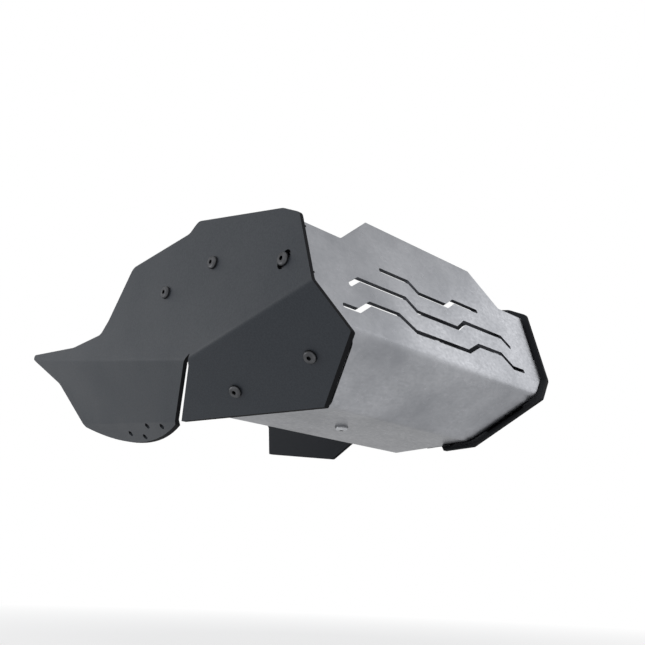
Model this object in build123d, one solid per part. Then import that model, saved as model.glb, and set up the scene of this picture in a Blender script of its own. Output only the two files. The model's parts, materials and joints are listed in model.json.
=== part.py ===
from build123d import *
import os
from math import cos, radians, sin, sqrt, tan

# Motorcycle skid plate, in mm. X points to the rider's left, Y to the rear and Z up.
# It is drawn from the front edge of the side panels: y = 0 at the nose, z = 0 along the lower edge.
# The last step moves the origin to the middle between the two engine bolts.

# Sheets and folds
panel_t = 3.0
plate_t = 3.0
bracket_t = 4.0
panel_fold_r = 2.0          # inside radius of the folds in the side panels
flange_fold_r = 2.0         # inside radius of the flanges and brackets
plate_fold_r = 9.0          # inside radius of the two wide bends in the centre plate
face_offset = 3.5           # the panels' edges stand out this far from the plate's front face
lower_offset = 1.5          # and this far from its lower face and belly
plate_gap = 2.8             # between the centre plate's side edges and the panels
relief = 1.5                # free width at each end of a flange
cut_spare = 1.0             # cutters reach this far past a surface
on_line = 0.05              # points nearer than this to a line lie on it

# Front profile, seen from the side
nose_height = 37.6
chin_length = 46.0          # the lower face runs back this far before the belly
face_lean = 16.0            # the front face leans back, degrees
belly_length = 134.0

# Centre plate
wing_height = 77.7          # up the front face to the outer top edges
tab_height = 103.7          # up the front face to the raised tab
tab_width = 124.0
notch_width = 188.0         # between the feet of the tab's slanted sides
notch_corner_r = 4.0
vent_width = 3.5

# Side panels
panel_width = 270.0         # over both side panels
panel_length = 380.0
panel_height = 142.0
knee_height = 29.0          # up the right panel's front edge from the nose to the front fold
left_knee_height = 18.0     # up the left panel's front edge
front_top_height = 81.0     # up the front edge to the top corner
front_fold = 43.5           # degrees
rear_fold = 28.0            # degrees
rear_fold_climb = 9.2       # the rear fold rises to the rear by this angle, degrees
lip_fold = 18.0             # degrees
lip_depth = 19.5
corner_r = 10.0             # typical rounding of the outline's corners
slot_width = 2.0            # relief slot between the right panel's two flaps
slot_head_height = 5.0      # the slot starts this far above the folds
drain_d = 5.0
left_drop_height = 2.6      # the left panel's front flap reaches down further by this much
sheet_spare = 60.0          # the flat sheets run past the panels' outline by this much

# Flanges of the centre plate
top_flange_depth = 34.0
top_screw_depth = 16.6      # from the folded edge to the screw
flap_flange_depth = 36.5    # of the flanges behind the front flaps
flap_screw_depth = 20.0
flange_corner_r = 6.0

# Screws, washers and nuts, M5
screw_d = 5.0
screw_play = 0.1            # the shank is thinner than the nut's bore by this much
screw_tail = 1.5            # the shank's end beyond the nut
screw_hole_d = 5.5
drill_length = 40.0         # of the cutters for the holes
head_d = 9.5
head_h = 2.75
socket_width = 3.0
socket_depth = 2.6
oblong_length = 14.5        # oblong hole under the top front screw
oblong_width = 7.0
washer_d = 10.0
washer_t = 1.0
nut_width = 8.0
nut_h = 4.7

# Brackets
engine_bolt_d = 9.0
bracket_margin = 14.0       # around the screws
bracket_tab_width = 36.0
bracket_tab_depth = 46.0
bracket_bolt_depth = 30.0   # from the folded edge to the bolt
bracket_corner_r = 8.0
sump_bracket_width = 30.0
sump_bracket_length = 32.0
sump_bracket_height = 40.0
sump_bracket_corner_r = 5.0
sump_x = -20.0              # the sump bracket sits to the right of the middle

half = panel_width / 2
up_face = Vector(0, sin(radians(face_lean)), cos(radians(face_lean)))


def at(plane, y, z):
    """The point of a plane at a given y and z."""
    n = plane.z_dir
    o = plane.origin
    return Vector(o.X - (n.Y * (y - o.Y) + n.Z * (z - o.Z)) / n.X, y, z)


def hinged(plane, start, end, angle):
    """A plane that turns inwards from another one about the line from start to end."""
    along = (end - start).normalized()
    down = along.cross(plane.z_dir)
    if down.Z > 0:
        down = down * -1
    tilted = plane.z_dir * cos(radians(angle)) + down * sin(radians(angle))
    return Plane(start, x_dir=along, z_dir=tilted)


def behind(point, plane_a, plane_b, depth_a, depth_b):
    """The corner of two planes after each has moved inwards by its depth."""
    lean = plane_a.z_dir.dot(plane_b.z_dir)
    step_a = (depth_a - lean * depth_b) / (1 - lean**2)
    step_b = (depth_b - lean * depth_a) / (1 - lean**2)
    return point - plane_a.z_dir * step_a - plane_b.z_dir * step_b


def slab(plane, corners, thickness, rounded=(), radius=0.0):
    """A flat piece of sheet behind a plane, with some corners rounded."""
    face = make_face(Polyline(*corners, close=True))
    for corner in rounded:
        face = fillet(face.vertices().sort_by_distance(corner)[0], radius)
    return extrude(face, amount=thickness, dir=plane.z_dir * -1)


def side_cut(shape):
    """A cutter right across the part with an outline drawn in the side view."""
    return extrude(Plane.YZ * shape, amount=panel_width, both=True)


def near_line(point, start, direction):
    return (point - start).cross(direction).length < on_line


def round_fold(sheet, plane_a, plane_b, point, radius, thickness):
    """Rounds the inside and the outside of a sharp fold."""
    direction = plane_a.z_dir.cross(plane_b.z_dir).normalized()
    for depth, fold_r in ((thickness, radius), (0.0, radius + thickness)):
        start = behind(point, plane_a, plane_b, depth, depth)
        edges = []
        for edge in sheet.edges():
            if near_line(edge @ 0, start, direction) and near_line(edge @ 1, start, direction):
                edges.append(edge)
        sheet = fillet(edges, fold_r)
    return sheet


def away_from(face, side):
    """The direction in the side plane that leads away from its fold with the face."""
    return (side.z_dir * side.z_dir.dot(face.z_dir) - face.z_dir).normalized()


def flange(face, side, start, end, depth, thickness, radius):
    """A flange folded from a face into another plane, and the relief that the face needs."""
    along = (end - start).normalized()
    length = (end - start).length
    turn = face.z_dir.get_angle(side.z_dir)
    outer = radius + thickness
    setback = outer * tan(radians(turn / 2))
    into_face = away_from(side, face)
    into_side = away_from(face, side)
    centre = behind(start, face, side, outer, outer)
    section = Plane(centre, x_dir=face.z_dir, z_dir=face.z_dir.cross(side.z_dir))
    outside = CenterArc((0, 0), outer, 0, turn)
    inside = CenterArc((0, 0), radius, 0, turn)
    sides = [Line(outside @ 0, inside @ 0), Line(outside @ 1, inside @ 1)]
    sector = make_face([outside, inside] + sides)
    bend = extrude(section * sector, amount=length, dir=along)
    ends = [end + into_side * depth, start + into_side * depth]
    roots = [start + into_side * setback, end + into_side * setback]
    plate = slab(side, roots + ends, thickness, ends, flange_corner_r)
    low = start - along * relief + face.z_dir * cut_spare
    high = end + along * relief + face.z_dir * cut_spare
    notch = [low + into_face * setback, high + into_face * setback]
    notch += [high - into_face * outer, low - into_face * outer]
    return bend + plate, slab(face, notch, thickness + 2 * cut_spare)


def left(shape):
    """The mirrored copy for the rider's left."""
    return mirror(shape, about=Plane.YZ)


# Planes of the right panel: the upright side, the rear flap and the lip
nose = Vector(0, 0, nose_height)
chin = Vector(0, chin_length, 0)
front_top = nose + up_face * front_top_height
corner_y = 0.350 * panel_length
corner_z = 0.252 * panel_height
rear_slope = tan(radians(rear_fold_climb))
side = Plane((-half, 0, 0), x_dir=(0, 1, 0), z_dir=(-1, 0, 0))
fold_corner = at(side, corner_y, corner_z)
fold_rear = at(side, panel_length, corner_z + (panel_length - corner_y) * rear_slope)
rear_flap = hinged(side, fold_corner, fold_rear, rear_fold)
lip_start = at(rear_flap, 0.449 * panel_length, -0.004 * panel_height)
lip_end = at(rear_flap, 0.8355 * panel_length, 0.102 * panel_height)
lip = hinged(rear_flap, lip_start, lip_end, lip_fold)

# Planes of the centre plate, set back from the panels' front edges
face_out = Plane(nose, x_dir=(1, 0, 0), z_dir=(0, -cos(radians(face_lean)), sin(radians(face_lean))))
lower_out = Plane(nose, x_dir=(1, 0, 0), z_dir=(0, -nose_height, -chin_length))
belly_out = Plane(chin, x_dir=(1, 0, 0), z_dir=(0, 0, -1))
plate_nose = behind(nose, face_out, lower_out, face_offset, lower_offset)
plate_chin = behind(chin, lower_out, belly_out, lower_offset, lower_offset)
face = Plane(plate_nose, x_dir=(1, 0, 0), z_dir=face_out.z_dir)
lower = Plane(plate_nose, x_dir=(1, 0, 0), z_dir=lower_out.z_dir)
belly = Plane(plate_chin, x_dir=(1, 0, 0), z_dir=belly_out.z_dir)

# Inner face of the right panel's side, which the top flange and the bracket lie against
side_in = side.offset(-panel_t)


def rise(distance):
    """The point on the right panel's inner face, up the fold of the centre plate's front face."""
    point = plate_nose + up_face * distance
    return at(side_in, point.Y, point.Z)


class FrontFlap:
    """The front flap of a side panel, hinged at a fold that starts at a height on the front edge.

    The left panel's flap is drawn on the right too, and mirrored with its panel.
    """

    def __init__(self, height):
        knee = nose + up_face * height
        self.start = at(side, knee.Y, knee.Z)
        self.plane = hinged(side, self.start, fold_corner, front_fold)
        self.inner = self.plane.offset(-panel_t)

    def fold_line(self, y):
        """The fold in the side view."""
        slope = (fold_corner.Z - self.start.Z) / (fold_corner.Y - self.start.Y)
        return y, fold_corner.Z + (y - fold_corner.Y) * slope

    def chin_edge(self, part):
        """The point on the inner face, at a part of the way from nose to chin."""
        point = plate_nose + (plate_chin - plate_nose) * part
        return at(self.inner, point.Y, point.Z)

    def belly_edge(self, part):
        """The point on the inner face, at a part of the way along the belly."""
        return at(self.inner, plate_chin.Y + (belly_length - plate_chin.Y) * part, plate_chin.Z)

    def screw_place(self, foot, plate_face):
        """The place of a screw, up the flap from a point on the fold of a flange."""
        spot = foot + away_from(plate_face, self.inner) * flap_screw_depth
        return Plane(spot, x_dir=self.plane.x_dir, z_dir=self.plane.z_dir).offset(panel_t)


right_flap = FrontFlap(knee_height)
left_flap = FrontFlap(left_knee_height)

# Screw places: a plane on the outside of the panel at each screw, facing out
front_screw_rise = 0.717 * wing_height
front_spot = rise(front_screw_rise) + away_from(face, side_in) * top_screw_depth
front_place = Plane(front_spot, x_dir=(0, -1, 1), z_dir=side.z_dir).offset(panel_t)
nose_place = right_flap.screw_place(right_flap.chin_edge(0.458), lower)
belly_place = right_flap.screw_place(right_flap.belly_edge(0.726), belly)
nose_place_left = left_flap.screw_place(left_flap.chin_edge(0.458), lower)
belly_place_left = left_flap.screw_place(left_flap.belly_edge(0.42), belly)
upper_y = 0.290 * panel_length
upper_z = 0.725 * panel_height
hind_y = 0.4375 * panel_length
hind_z = 0.6565 * panel_height
upper_place = Plane(at(side, upper_y, upper_z), x_dir=(0, 1, 0), z_dir=side.z_dir)
hind_place = Plane(at(side, hind_y, hind_z), x_dir=(0, 1, 0), z_dir=side.z_dir)
sump_y = plate_chin.Y + 0.5 * (belly_length - plate_chin.Y)
sump_place = Plane((sump_x, sump_y, plate_chin.Z), x_dir=(1, 0, 0), z_dir=belly.z_dir)


def hole(place, diameter):
    return place * Cylinder(diameter / 2, drill_length)


def oblong(place):
    return place * extrude(SlotOverall(oblong_length, oblong_width), amount=drill_length / 2, both=True)


# Centre plate: a folded strip, cut along the panels, with its top edge and vents
reach = panel_width
bands = slab(face, [
    plate_nose - Vector(half, 0, 0),
    plate_nose + Vector(half, 0, 0),
    plate_nose + Vector(half, 0, 0) + up_face * tab_height,
    plate_nose - Vector(half, 0, 0) + up_face * tab_height,
], plate_t)
bands += slab(lower, [
    plate_nose - Vector(half, 0, 0),
    plate_nose + Vector(half, 0, 0),
    plate_chin + Vector(half, 0, 0),
    plate_chin - Vector(half, 0, 0),
], plate_t)
bands += slab(belly, [
    plate_chin - Vector(half, 0, 0),
    plate_chin + Vector(half, 0, 0),
    Vector(half, belly_length, plate_chin.Z),
    Vector(-half, belly_length, plate_chin.Z),
], plate_t)
bands = round_fold(bands, face, lower, plate_nose, plate_fold_r, plate_t)
bands = round_fold(bands, lower, belly, plate_chin, plate_fold_r, plate_t)
side_trim = Pos(-half - reach + panel_t + plate_gap, 0, 0) * Box(2 * reach, 4 * reach, 4 * reach)
half_space = Pos(0, 0, reach) * Box(4 * reach, 4 * reach, 2 * reach)
right_trim = side_trim + right_flap.inner.offset(-plate_gap) * half_space
left_trim = side_trim + left_flap.inner.offset(-plate_gap) * half_space
centre_plate = bands - right_trim - left(left_trim)

shoulder = make_face(Polyline(
    (tab_width / 2, tab_height + plate_t),
    (tab_width / 2, tab_height),
    (notch_width / 2, wing_height),
    (half, wing_height),
    (half, tab_height + plate_t),
    close=True,
))
notch_foot = shoulder.vertices().sort_by_distance((notch_width / 2, wing_height))[0]
shoulder = fillet(notch_foot, notch_corner_r)
shoulder_cut = extrude(face * shoulder, amount=2.0 * plate_t, both=True)
centre_plate = centre_plate - shoulder_cut - left(shoulder_cut)

# Three zigzag vents, from the middle outwards, as parts of the notch width and of the wing height
vent_steps = [
    [(0.090, 0.736), (0.144, 0.826), (0.303, 0.826)],
    [(0.128, 0.511), (0.186, 0.614), (0.447, 0.614), (0.497, 0.530)],
    [(0.165, 0.279), (0.250, 0.395), (0.410, 0.395), (0.479, 0.279), (0.553, 0.279)],
]
for steps in vent_steps:
    right_half = [(x * notch_width, z * wing_height) for x, z in steps]
    line = [(-x, z) for x, z in reversed(right_half)] + right_half
    vent = SlotArc(Polyline(*line), vent_width)
    centre_plate = centre_plate - extrude(face * vent, amount=2.0 * plate_t, both=True)

# Its side flanges, folded back behind the panels
top_fold = (top_flange_depth, plate_t, flange_fold_r)
top_flange = flange(face, side_in, rise(0.51 * wing_height), rise(0.95 * wing_height), *top_fold)


def chin_flange(flap, start, end):
    ends = (flap.chin_edge(start), flap.chin_edge(end))
    return flange(lower, flap.inner, *ends, flap_flange_depth, plate_t, flange_fold_r)


def belly_flange(flap, start, end):
    ends = (flap.belly_edge(start), flap.belly_edge(end))
    return flange(belly, flap.inner, *ends, flap_flange_depth, plate_t, flange_fold_r)


right_flanges = (top_flange, chin_flange(right_flap, 0.22, 0.78), belly_flange(right_flap, 0.50, 0.90))
left_flanges = (top_flange, chin_flange(left_flap, 0.22, 0.78), belly_flange(left_flap, 0.27, 0.57))
for solid, notch in right_flanges:
    centre_plate = centre_plate - notch + solid
for solid, notch in left_flanges:
    centre_plate = centre_plate - left(notch) + left(solid)
for place in (front_place, nose_place, belly_place):
    centre_plate = centre_plate - hole(place, screw_hole_d)
for place in (front_place, nose_place_left, belly_place_left):
    centre_plate = centre_plate - left(hole(place, screw_hole_d))
centre_plate = centre_plate - hole(sump_place, screw_hole_d)


# Side panels: folded sheets, cut to an outline that is drawn in the side view
def rear_line(y):
    return y, corner_z + (y - corner_y) * rear_slope


def lip_line(y):
    part = (y - lip_start.Y) / (lip_end.Y - lip_start.Y)
    return y, lip_start.Z + (lip_end.Z - lip_start.Z) * part


def floor_line(y):
    return y, -sheet_spare


def roof_line(y):
    return y, panel_height + sheet_spare


def sheet(plane, upper, lower):
    """A flat sheet between two lines of the side view, longer than the panel at both ends."""
    start = -sheet_spare
    end = panel_length + sheet_spare
    corners = [upper(start), upper(end), lower(end), lower(start)]
    return slab(plane, [at(plane, y, z) for y, z in corners], panel_t)


def folded(sheets, *folds):
    """Rounds the folds between joined sheets."""
    for plane_a, plane_b, point in folds:
        sheets = round_fold(sheets, plane_a, plane_b, point, panel_fold_r, panel_t)
    return sheets


# The front fold and the rear fold are made on two sheets, which meet along the line of the relief slot
rear_side = sheet(side, roof_line, rear_line)
plain_sheet = rear_side + sheet(rear_flap, rear_line, floor_line)
lip_sheet = rear_side + sheet(rear_flap, rear_line, lip_line) + sheet(lip, lip_line, floor_line)
plain_sheet = folded(plain_sheet, (side, rear_flap, fold_corner))
lip_sheet = folded(lip_sheet, (side, rear_flap, fold_corner), (rear_flap, lip, lip_start))
fold_point = Vector(corner_y, corner_z)
slot_run = Vector(lip_start.Y, lip_start.Z) - fold_point
slot_axis = slot_run.normalized()
slot_across = Vector(-slot_axis.Y, slot_axis.X)
split = [fold_point - slot_axis * panel_length, fold_point + slot_axis * panel_length]
forward = [point - slot_across * panel_length for point in reversed(split)]
backward = [point + slot_across * panel_length for point in reversed(split)]
front_half = side_cut(make_face(Polyline(*split, *forward, close=True)))
rear_half = side_cut(make_face(Polyline(*split, *backward, close=True)))
lip_sheet = lip_sheet & rear_half
plain_sheet = plain_sheet & rear_half


def front_sheet(flap):
    """The front of a side panel, folded at its flap's own line."""
    sheets = sheet(side, roof_line, flap.fold_line) + sheet(flap.plane, flap.fold_line, floor_line)
    return folded(sheets, (side, flap.plane, flap.start)) & front_half


# Upper outline from the front top corner to the tail, as parts of the panel's length and height
crest = [(0.101, 0.868), (0.349, 1.0), (0.3765, 0.949), (0.573, 0.890), (0.650, 0.617)]
crest += [(0.6775, 0.547), (0.791, 0.523), (1.0, 0.567), (0.887, 0.351)]
crest_points = [(y * panel_length, z * panel_height) for y, z in crest]
crest_rounding = [1.2, 0.8, 0.8, 1.0, 0.9, 0.9, 2.0, 0.25, 1.2]
upper_outline = [(front_top.Y, front_top.Z)] + crest_points

lip_middle = (lip_start + lip_end) * 0.5 + away_from(rear_flap, lip) * lip_depth
tail = upper_outline[-1]
tail_run = Vector(lip_end.Y - tail[0], lip_end.Z - tail[1])
tail_foot = Vector(*tail) + tail_run * (1 + panel_t / tail_run.length)
slot_foot = (lip_start.Y, lip_start.Z - slot_width / 3)


def rounded(outline):
    """Rounds the free corners of a side panel's outline."""
    outline = fillet(outline.vertices().sort_by_distance((front_top.Y, front_top.Z))[0], 0.5 * corner_r)
    for corner, rounding in zip(crest_points, crest_rounding):
        outline = fillet(outline.vertices().sort_by_distance(corner)[0], rounding * corner_r)
    for corner in (nose, chin):
        outline = fillet(outline.vertices().sort_by_distance((corner.Y, corner.Z))[0], 0.15 * corner_r)
    return outline


right_front = [slot_foot, (lip_start.Y, 0.0), (chin.Y, chin.Z), (nose.Y, nose.Z)]
right_path = Polyline(*right_front, *upper_outline, (tail_foot.X, tail_foot.Y))
lip_arc = ThreePointArc((tail_foot.X, tail_foot.Y), (lip_middle.Y, lip_middle.Z), slot_foot)
right_outline = rounded(make_face(right_path.edges() + lip_arc.edges()))

# The relief slot between the right panel's two flaps, widest just below the fold
slot_shape = []
slot_top = (-slot_head_height, 0.4 * slot_width)
slot_wide = (0.7 * slot_head_height, 2.0 * slot_width)
slot_end = (1.3 * slot_run.length, slot_width)
for down, width in (slot_top, slot_wide, slot_end):
    slot_shape.append(fold_point + slot_axis * down + slot_across * (width / 2))
    slot_shape.insert(0, fold_point + slot_axis * down - slot_across * (width / 2))
slot_cut = side_cut(make_face(Polyline(*slot_shape, close=True)))

# The left panel's front flap ends early, its rear flap starts late and has a plain lower edge
gap_front = 0.201 * panel_length
gap_rear = 0.593 * panel_length
gap_rear_z = 0.034 * panel_height
gap_back = gap_rear - (rear_line(gap_rear)[1] + slot_head_height - gap_rear_z) / (1 + rear_slope)
left_foot = (0.832 * panel_length, 0.120 * panel_height)
left_nose = nose - up_face * left_drop_height
left_chin = behind(chin, lower_out, belly_out, -left_drop_height, -left_drop_height)
left_outline = rounded(make_face(Polyline(
    (left_chin.Y, left_chin.Z),
    (left_nose.Y, left_nose.Z),
    *upper_outline,
    left_foot,
    (gap_rear, gap_rear_z),
    (gap_back, rear_line(gap_back)[1] + slot_head_height),
    (corner_y - slot_width, corner_z + slot_head_height),
    (gap_front, -left_drop_height),
    close=True,
)))
left_outline = fillet(left_outline.vertices().sort_by_distance((gap_rear, gap_rear_z))[0], 0.3 * corner_r)
left_outline = fillet(left_outline.vertices().sort_by_distance(left_foot)[0], 0.3 * corner_r)

right_panel = (front_sheet(right_flap) + lip_sheet) & side_cut(right_outline)
right_panel = right_panel - slot_cut
left_panel = (front_sheet(left_flap) + plain_sheet) & side_cut(left_outline)

# Screw holes, and the small drain holes in the lip
right_panel = right_panel - oblong(front_place)
left_panel = left_panel - oblong(front_place)
for place in (nose_place, belly_place, upper_place, hind_place):
    right_panel = right_panel - hole(place, screw_hole_d)
for place in (nose_place_left, belly_place_left, upper_place, hind_place):
    left_panel = left_panel - hole(place, screw_hole_d)
lip_run = (lip_end - lip_start).normalized()
for along, down in ((0.16, 0.22), (0.30, 0.18), (0.39, 0.72), (0.52, 0.55)):
    spot = lip_start + (lip_end - lip_start) * along + away_from(rear_flap, lip) * (down * lip_depth)
    right_panel = right_panel - hole(Plane(spot, x_dir=lip_run, z_dir=lip.z_dir), drain_d)
left_panel = left(left_panel)

# Engine brackets: a plate against the panel and a level tab for the engine bolt
tab_z = 0.5483 * panel_height
tab_level = Plane((0, 0, tab_z), x_dir=(1, 0, 0), z_dir=(0, 0, -1))
bolt_y = 0.3795 * panel_length
bolt_x = half - panel_t - bracket_bolt_depth
tab_front = at(side_in, bolt_y - bracket_tab_width / 2, tab_z)
tab_rear = at(side_in, bolt_y + bracket_tab_width / 2, tab_z)
bracket_fold = (bracket_tab_depth, bracket_t, flange_fold_r)
tab_solid = flange(side_in, tab_level, tab_front, tab_rear, *bracket_fold)[0]
plate_foot = tab_z + bracket_t + flange_fold_r
bracket_ends = [
    at(side_in, hind_y + bracket_margin, hind_z + bracket_margin),
    at(side_in, upper_y - bracket_margin, upper_z + bracket_margin),
]
bracket_plate = slab(side_in, [
    at(side_in, upper_y - bracket_margin, plate_foot),
    at(side_in, hind_y + bracket_margin, plate_foot),
] + bracket_ends, bracket_t, bracket_ends, bracket_corner_r)
bracket = bracket_plate + tab_solid
for place in (upper_place, hind_place):
    bracket = bracket - hole(place, screw_hole_d)
bracket = bracket - Pos(-bolt_x, bolt_y, tab_z) * Cylinder(engine_bolt_d / 2, drill_length)

# Sump bracket: a foot on the belly and an upright for the lower engine bolt
foot_z = plate_chin.Z + plate_t
foot_rear = sump_y + sump_bracket_length / 2
foot_plane = Plane((0, 0, foot_z), x_dir=(1, 0, 0), z_dir=(0, 0, -1))
upright = Plane((0, foot_rear, 0), x_dir=(1, 0, 0), z_dir=(0, 1, 0))
foot_left = Vector(sump_x + sump_bracket_width / 2, foot_rear, foot_z)
foot_right = Vector(sump_x - sump_bracket_width / 2, foot_rear, foot_z)
sump_fold = (sump_bracket_height, bracket_t, flange_fold_r)
upright_solid = flange(foot_plane, upright, foot_right, foot_left, *sump_fold)[0]
foot_back = Vector(0, bracket_t + flange_fold_r, 0)
foot_front = Vector(0, sump_bracket_length, 0)
foot_ends = [foot_left - foot_front, foot_right - foot_front]
foot_roots = [foot_right - foot_back, foot_left - foot_back]
sump_bracket = slab(foot_plane, foot_roots + foot_ends, bracket_t, foot_ends, sump_bracket_corner_r)
sump_bracket = sump_bracket + upright_solid - hole(sump_place, screw_hole_d)
sump_bolt_z = foot_z + 0.68 * sump_bracket_height
sump_bolt = Plane((sump_x, foot_rear, sump_bolt_z), x_dir=(1, 0, 0), z_dir=(0, 1, 0))
sump_bracket = sump_bracket - hole(sump_bolt, engine_bolt_d)


# Fasteners, drawn on a plane at the outer surface with the screw pointing inwards
def screw(grip):
    head = Pos(0, 0, head_h / 2) * Cylinder(head_d / 2, head_h)
    head = fillet(head.edges().sort_by(Axis.Z)[-1], 0.62 * head_h)
    socket = extrude(RegularPolygon(socket_width / sqrt(3), 6), amount=head_h)
    length = grip + washer_t + nut_h + screw_tail
    shank = Pos(0, 0, -length / 2) * Cylinder((screw_d - screw_play) / 2, length)
    return head + shank - Pos(0, 0, head_h - socket_depth) * socket


def washer(grip):
    ring = Cylinder(washer_d / 2, washer_t) - Cylinder(screw_hole_d / 2, 2 * washer_t)
    return Pos(0, 0, -grip - washer_t / 2) * ring


def nut(grip):
    body = extrude(RegularPolygon(nut_width / sqrt(3), 6), amount=nut_h)
    body = body - Cylinder(screw_d / 2, 4 * nut_h)
    return Pos(0, 0, -grip - washer_t - nut_h) * body


plate_grip = panel_t + plate_t
bracket_grip = panel_t + bracket_t
sump_grip = plate_t + bracket_t
hardware = {
    "right_front": ([front_place], plate_grip, ""),
    "right_flap": ([nose_place, belly_place], plate_grip, "s"),
    "right_bracket": ([upper_place, hind_place], bracket_grip, "s"),
    "left_front": ([front_place], plate_grip, ""),
    "left_flap": ([nose_place_left, belly_place_left], plate_grip, "s"),
    "left_bracket": ([upper_place, hind_place], bracket_grip, "s"),
    "sump": ([sump_place], sump_grip, ""),
}

nodes = {
    "centre_plate": centre_plate,
    "right_panel": right_panel,
    "left_panel": left_panel,
    "right_bracket": bracket,
    "left_bracket": left(bracket),
    "sump_bracket": sump_bracket,
}
for name, (places, grip, plural) in hardware.items():
    for kind, make in (("screw", screw), ("washer", washer), ("nut", nut)):
        solids = [place * make(grip) for place in places]
        if name.startswith("left"):
            solids = [left(solid) for solid in solids]
        nodes[name + "_" + kind + plural] = solids

# The origin goes to the middle between the engine bolts, on top of the bracket tabs
origin = Pos(0, -bolt_y, -tab_z - bracket_t)
os.makedirs("parts", exist_ok=True)
for name, shape in nodes.items():
    solids = shape if isinstance(shape, list) else shape.solids()
    placed = [origin * solid for solid in solids]
    export_step(Compound(children=placed) if len(placed) > 1 else placed[0], "parts/" + name + ".step")
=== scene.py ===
"""Looks of the motorcycle skid plate: materials, light and the photograph's camera.

Everything is in metres in the frame's own axes: +X to the rider's left, +Y to the rear, +Z up.
"""

import json

import bpy
from mathutils import Matrix, Vector

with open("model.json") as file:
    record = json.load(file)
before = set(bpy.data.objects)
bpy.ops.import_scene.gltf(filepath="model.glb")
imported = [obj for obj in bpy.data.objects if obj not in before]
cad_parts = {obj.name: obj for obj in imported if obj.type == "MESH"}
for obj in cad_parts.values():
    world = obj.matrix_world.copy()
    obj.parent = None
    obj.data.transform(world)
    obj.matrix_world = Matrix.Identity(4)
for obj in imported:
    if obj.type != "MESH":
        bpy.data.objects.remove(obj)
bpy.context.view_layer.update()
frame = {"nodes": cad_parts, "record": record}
nodes = frame["nodes"]

# Camera: place, viewing axes and focal length solved from the photograph, which is 645 pixels wide
PICTURE_WIDTH = 645.0
FOCAL_PIXELS = 432.7
SENSOR_WIDTH = 36.0
CAMERA_PLACE = Vector((-0.4577, -0.4774, -0.1950))
CAMERA_RIGHT = Vector((0.7066, -0.7066, 0.0366))
CAMERA_FORWARD = Vector((0.6651, 0.6809, 0.3066))
NEAR_CLIP = 0.01
ZOOM = 1.9                      # a longer lens than the photograph's, so that the guard fills the frame

# Stage: the guard hangs above the ground, as it does in use
GROUND_Z = -0.235
FLOOR_SIZE = 12.0
FLOOR_FADE = (0.12, 0.75)       # from the floor's middle, where its shading starts to fade and is gone
FLOOR_WHITE = (0.72, 1.0)       # share of plain white at those two distances
FLOOR_ROUGHNESS = 0.9

# Light: square soft boxes, and a sky all round
LAMPS = {
    "side": {"place": (-0.75, 0.55, -0.02), "target": (-0.1, 0.1, 0.0), "size": 0.4, "power": 1.4},
    "front": {"place": (2.05, -0.80, 0.90), "target": (0.0, -0.1, 0.0), "size": 1.1, "power": 5.2},
    "fill": {"place": (1.6, 1.4, 1.4), "target": (0.0, 0.0, 0.0), "size": 1.4, "power": 18.0},
}
SKY_STRENGTH = 0.55
WHITE_STRENGTH = 1.0

# Colours, as linear values
PLATE_COLOUR = (0.356, 0.363, 0.384)
PLATE_DULL = (0.225, 0.232, 0.250)
# painted shade for the vents' walls and other narrow slots
VENT_SHADE_COLOUR = (0.02, 0.02, 0.021)
PANEL_COLOUR = (0.0385, 0.0450, 0.0545)
PANEL_SPECK = (0.0485, 0.0555, 0.0655)
# painted shade on the panels' inner sides
PANEL_INSIDE_SHADE = (0.027, 0.029, 0.033)
# painted shade on the panels' cut edges
PANEL_EDGE_SHADE = (0.009, 0.0095, 0.011)
BRACKET_COLOUR = (0.018, 0.0185, 0.020)
BRACKET_WORN = (0.0288, 0.0296, 0.032)
SCREW_COLOUR = (0.100, 0.102, 0.108)
ZINC_COLOUR = (0.46, 0.47, 0.49)
FLOOR_COLOUR = (0.42, 0.42, 0.43)
SKY_COLOUR = (0.92, 0.95, 1.0)
WHITE = (1.0, 1.0, 1.0)
METAL_TINT = (0.66, 0.66, 0.66)     # keeps the metals from flashing at grazing angles
FASTENER_DULL_SHARE = 0.7           # how bright the dull patches of a fastener are

# Finish: ranges of roughness, and depths of bump in metres
PLATE_ROUGHNESS = (0.26, 0.38)
PANEL_ROUGHNESS = (0.44, 0.52)
PANEL_MATTE = 0.95                  # roughness of the cut edges and of the inner sides
PANEL_SPECULAR = 0.3
BRACKET_ROUGHNESS = 0.55
SCREW_ROUGHNESS = (0.36, 0.50)
ZINC_ROUGHNESS = (0.28, 0.42)
PLATE_BUMP = 0.0002
PANEL_BUMP = 0.00012
BRACKET_BUMP = 0.0001
VENT_REACH = 0.006                  # walls nearer to each other than this get painted shade

# Ranges that a mask runs through
RISING = (0.0, 1.0)
FALLING = (1.0, 0.0)

# Places of the sockets of a colour mix
MIX_FIRST = 6
MIX_SECOND = 7
MIX_RESULT = 2


def opaque(colour):
    """A colour with full alpha."""
    return (*colour, 1.0)


def math_node(tree, operation, *values):
    """A node that works on one or two values."""
    node = tree.nodes.new("ShaderNodeMath")
    node.operation = operation
    for socket, value in zip(node.inputs, values):
        tree.links.new(value, socket)
    return node.outputs["Value"]


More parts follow.
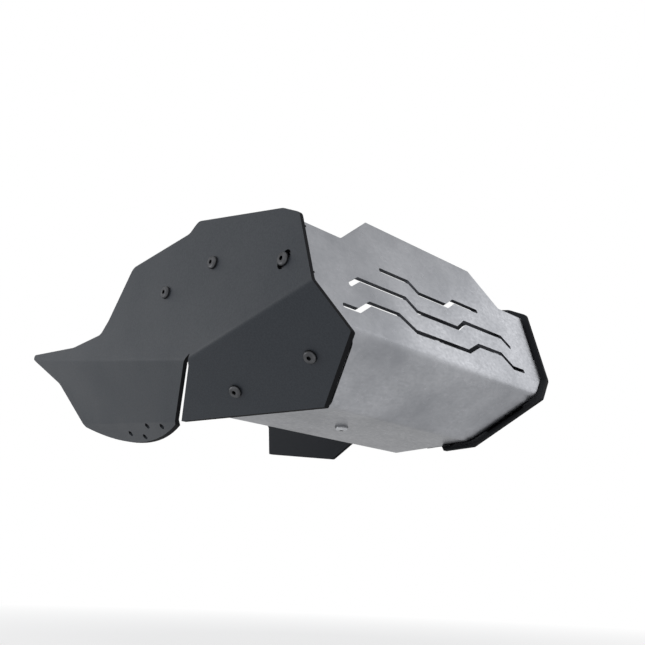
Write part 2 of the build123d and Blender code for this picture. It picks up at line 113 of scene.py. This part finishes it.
class Surface:
    """A principled material with a few helpers for its procedural nodes."""

    def __init__(self, name, metallic):
        self.material = bpy.data.materials.new(name)
        self.material.use_nodes = True
        self.tree = self.material.node_tree
        self.shader = self.tree.nodes["Principled BSDF"]
        self.constant("Metallic", metallic)
        coordinates = self.tree.nodes.new("ShaderNodeTexCoord")
        self.place = coordinates.outputs["Object"]
        self.facing = coordinates.outputs["Normal"]

    def constant(self, name, value):
        """Sets one of the shader's inputs to the same value all over the surface."""
        self.shader.inputs[name].default_value = value

    def varied(self, name, socket):
        """Drives one of the shader's inputs by a pattern."""
        self.tree.links.new(socket, self.shader.inputs[name])

    def noise(self, scale, detail, roughness=0.55, stretch=(1.0, 1.0, 1.0)):
        """A noise pattern fixed to the object, as a value from 0 to 1."""
        mapping = self.tree.nodes.new("ShaderNodeMapping")
        mapping.inputs["Scale"].default_value = stretch
        pattern = self.tree.nodes.new("ShaderNodeTexNoise")
        pattern.inputs["Scale"].default_value = scale
        pattern.inputs["Detail"].default_value = detail
        pattern.inputs["Roughness"].default_value = roughness
        self.tree.links.new(self.place, mapping.inputs["Vector"])
        self.tree.links.new(mapping.outputs["Vector"], pattern.inputs["Vector"])
        return pattern.outputs["Fac"]

    def across(self, vector):
        """The part of a vector that points to the rider's left."""
        split = self.tree.nodes.new("ShaderNodeSeparateXYZ")
        self.tree.links.new(vector, split.inputs["Vector"])
        return split.outputs["X"]

    def level(self, source):
        """One where the surface faces up, down or ahead, and zero where it faces a side."""
        sideways = math_node(self.tree, "ABSOLUTE", self.across(self.facing))
        return self.spread(sideways, source, FALLING)

    def inward(self, source):
        """One where the surface faces the guard's middle plane, and zero where it faces away."""
        side = math_node(self.tree, "SIGN", self.across(self.place))
        outward = math_node(self.tree, "MULTIPLY", side, self.across(self.facing))
        return self.spread(outward, source, FALLING)

    def openness(self, distance):
        """One on open surfaces, and less in slots and corners narrower than the distance."""
        shade = self.tree.nodes.new("ShaderNodeAmbientOcclusion")
        shade.inputs["Distance"].default_value = distance
        return shade.outputs["AO"]

    def spread(self, value, source, result):
        """Maps the source range of a value onto the result range, and holds it at their ends."""
        mapped = self.tree.nodes.new("ShaderNodeMapRange")
        settings = dict(zip(("From Min", "From Max", "To Min", "To Max"), (*source, *result)))
        for name, number in settings.items():
            mapped.inputs[name].default_value = number
        self.tree.links.new(value, mapped.inputs["Value"])
        return mapped.outputs["Result"]

    def blend(self, factor, first, second):
        """Mixes two colours, given as colours or as sockets."""
        mix = self.tree.nodes.new("ShaderNodeMix")
        mix.data_type = "RGBA"
        self.tree.links.new(factor, mix.inputs["Factor"])
        for index, colour in ((MIX_FIRST, first), (MIX_SECOND, second)):
            if isinstance(colour, tuple):
                mix.inputs[index].default_value = opaque(colour)
            else:
                self.tree.links.new(colour, mix.inputs[index])
        return mix.outputs[MIX_RESULT]

    def bump(self, height, distance, strength):
        """Raises the surface by a pattern."""
        bump = self.tree.nodes.new("ShaderNodeBump")
        bump.inputs["Strength"].default_value = strength
        bump.inputs["Distance"].default_value = distance
        self.tree.links.new(height, bump.inputs["Height"])
        self.varied("Normal", bump.outputs["Normal"])


def plate_metal():
    """Bare aluminium sheet with a fine grain, faint cloudy stains and painted shade in its vents and narrow
    slots.
    """
    surface = Surface("plate_metal", metallic=1.0)
    surface.constant("Specular Tint", opaque(METAL_TINT))
    stains = surface.noise(scale=16.0, detail=5.0, roughness=0.6)
    grain = surface.noise(scale=420.0, detail=2.0, stretch=(0.7, 1.0, 1.0))
    stain_mask = surface.spread(stains, source=(0.36, 0.66), result=(0.0, 0.85))
    grain_mask = surface.spread(grain, source=(0.3, 0.7), result=(0.0, 0.3))
    stained = surface.blend(stain_mask, PLATE_COLOUR, PLATE_DULL)
    grained = surface.blend(grain_mask, stained, PLATE_DULL)
    # Painted shade: the colour turns near black where ambient occlusion finds walls close together, as in
    # the vents
    narrow = surface.spread(surface.openness(VENT_REACH), source=(0.45, 0.85), result=FALLING)
    vent_shade = math_node(surface.tree, "MULTIPLY", narrow, surface.level(source=(0.80, 0.95)))
    surface.varied("Base Color", surface.blend(vent_shade, grained, VENT_SHADE_COLOUR))
    surface.varied("Roughness", surface.spread(grain, source=(0.25, 0.75), result=PLATE_ROUGHNESS))
    surface.bump(grain, distance=PLATE_BUMP, strength=0.07)
    return surface.material


def panel_coat():
    """Satin anthracite powder coat with a very fine orange peel, with painted shade on its inner sides and
    at its cut edges.
    """
    surface = Surface("panel_coat", metallic=0.0)
    surface.constant("Specular IOR Level", PANEL_SPECULAR)
    # Painted shade: faces that look up, down or ahead, such as the cut edges, are coloured near black
    shaded_cut_edge = surface.level(source=(0.15, 0.30))
    # Painted shade: faces that look towards the guard's middle plane are coloured darker
    shaded_inside = surface.inward(source=(-0.3, -0.1))
    speck = surface.noise(scale=900.0, detail=1.0)
    broad = surface.noise(scale=22.0, detail=2.0)
    speck_mask = surface.spread(speck, source=(0.35, 0.65), result=RISING)
    specked = surface.blend(speck_mask, PANEL_COLOUR, PANEL_SPECK)
    inner_shaded = surface.blend(shaded_inside, specked, PANEL_INSIDE_SHADE)
    surface.varied("Base Color", surface.blend(shaded_cut_edge, inner_shaded, PANEL_EDGE_SHADE))
    satin = surface.spread(broad, source=(0.3, 0.7), result=PANEL_ROUGHNESS)
    dull = math_node(surface.tree, "MAXIMUM", shaded_cut_edge, shaded_inside)
    matte = surface.spread(dull, source=RISING, result=(0.0, PANEL_MATTE))
    surface.varied("Roughness", math_node(surface.tree, "MAXIMUM", satin, matte))
    surface.bump(speck, distance=PANEL_BUMP, strength=0.25)
    return surface.material


def bracket_paint():
    """Matte black paint with slight unevenness."""
    surface = Surface("bracket_paint", metallic=0.0)
    surface.constant("Roughness", BRACKET_ROUGHNESS)
    coat = surface.noise(scale=120.0, detail=2.0)
    wear_mask = surface.spread(coat, source=(0.4, 0.7), result=RISING)
    surface.varied("Base Color", surface.blend(wear_mask, BRACKET_COLOUR, BRACKET_WORN))
    surface.bump(coat, distance=BRACKET_BUMP, strength=0.2)
    return surface.material


def fastener_metal(name, base, roughness):
    """Plated steel of screws, washers and nuts, with a fine uneven sheen."""
    surface = Surface(name, metallic=1.0)
    surface.constant("Specular Tint", opaque(METAL_TINT))
    film = surface.noise(scale=260.0, detail=2.0)
    film_mask = surface.spread(film, source=(0.35, 0.65), result=RISING)
    dull = tuple(FASTENER_DULL_SHARE * part for part in base)
    surface.varied("Base Color", surface.blend(film_mask, base, dull))
    surface.varied("Roughness", surface.spread(film, source=(0.3, 0.7), result=roughness))
    return surface.material


MATERIALS = {
    "plate_metal": plate_metal(),
    "panel_coat": panel_coat(),
    "bracket_paint": bracket_paint(),
    "screw_black": fastener_metal("screw_black", SCREW_COLOUR, SCREW_ROUGHNESS),
    "zinc": fastener_metal("zinc", ZINC_COLOUR, ZINC_ROUGHNESS),
}


def dress_nodes():
    """Gives each piece the material of its slot in the record."""
    for part in frame["record"]["subparts"]:
        piece = nodes[part["node"]]
        piece.data.materials.clear()
        piece.data.materials.append(MATERIALS[part["material_slot"]])


def seen_rays(tree, camera_share=None):
    """One for reflections, glass and the camera, or a share for the camera, and zero for falling light."""
    rays = tree.nodes.new("ShaderNodeLightPath")
    direct = rays.outputs["Is Camera Ray"]
    if camera_share is not None:
        direct = math_node(tree, "MULTIPLY", direct, camera_share)
    mirrored = math_node(tree, "MAXIMUM", rays.outputs["Is Glossy Ray"], rays.outputs["Is Transmission Ray"])
    return math_node(tree, "MAXIMUM", direct, mirrored)


def plain_light(node, colour, strength):
    """Sets the colour and the strength of a node that gives light."""
    node.inputs["Color"].default_value = opaque(colour)
    node.inputs["Strength"].default_value = strength


def mixed(tree, factor, first, second, output):
    """Puts a mix of two shaders on an output."""
    choice = tree.nodes.new("ShaderNodeMixShader")
    for socket, value in zip(choice.inputs, (factor, first, second)):
        tree.links.new(value, socket)
    tree.links.new(choice.outputs["Shader"], output)


def add_floor():
    """A plain pale floor that keeps a faint shadow and fades into the white background."""
    bpy.ops.mesh.primitive_plane_add(size=FLOOR_SIZE, location=(0.0, 0.0, GROUND_Z))
    floor = bpy.context.object
    floor.name = "floor"
    surface = Surface("floor", metallic=0.0)
    surface.constant("Roughness", FLOOR_ROUGHNESS)
    surface.constant("Base Color", opaque(FLOOR_COLOUR))
    tree = surface.tree
    distance = tree.nodes.new("ShaderNodeVectorMath")
    distance.operation = "LENGTH"
    tree.links.new(surface.place, distance.inputs["Vector"])
    seen = seen_rays(tree, surface.spread(distance.outputs["Value"], FLOOR_FADE, FLOOR_WHITE))
    white = tree.nodes.new("ShaderNodeEmission")
    plain_light(white, WHITE, WHITE_STRENGTH)
    output = tree.nodes["Material Output"].inputs["Surface"]
    mixed(tree, seen, surface.shader.outputs["BSDF"], white.outputs["Emission"], output)
    floor.data.materials.append(surface.material)


def add_world():
    """Soft light from all round, and a white background for what looks straight at it."""
    world = bpy.data.worlds.new("studio")
    bpy.context.scene.world = world
    world.use_nodes = True
    tree = world.node_tree
    sky = tree.nodes["Background"]
    plain_light(sky, SKY_COLOUR, SKY_STRENGTH)
    white = tree.nodes.new("ShaderNodeBackground")
    plain_light(white, WHITE, WHITE_STRENGTH)
    output = tree.nodes["World Output"].inputs["Surface"]
    mixed(tree, seen_rays(tree), sky.outputs["Background"], white.outputs["Background"], output)


def add_lamp(name, place, target, size, power):
    """A square soft box that points at a target."""
    light = bpy.data.lights.new(name, "AREA")
    light.size = size
    light.energy = power
    lamp = bpy.data.objects.new(name, light)
    lamp.location = place
    lamp.rotation_mode = "QUATERNION"
    lamp.rotation_quaternion = (Vector(target) - Vector(place)).to_track_quat("-Z", "Y")
    bpy.context.scene.collection.objects.link(lamp)


def add_camera():
    """The photograph's camera, which looks along its own -Z with +Y up."""
    forward = CAMERA_FORWARD.normalized()
    right = (CAMERA_RIGHT - forward * CAMERA_RIGHT.dot(forward)).normalized()
    up = right.cross(forward)
    camera = bpy.data.cameras.new("camera")
    camera.sensor_width = SENSOR_WIDTH
    camera.lens = ZOOM * FOCAL_PIXELS / PICTURE_WIDTH * SENSOR_WIDTH
    camera.clip_start = NEAR_CLIP
    holder = bpy.data.objects.new("camera", camera)
    turn = Matrix((right, up, -forward)).transposed()
    holder.matrix_world = Matrix.Translation(CAMERA_PLACE) @ turn.to_4x4()
    bpy.context.scene.collection.objects.link(holder)
    bpy.context.scene.camera = holder


dress_nodes()
add_floor()
add_world()
for lamp_name, lamp_settings in LAMPS.items():
    add_lamp(lamp_name, **lamp_settings)
add_camera()
bpy.context.scene.view_settings.view_transform = "Standard"
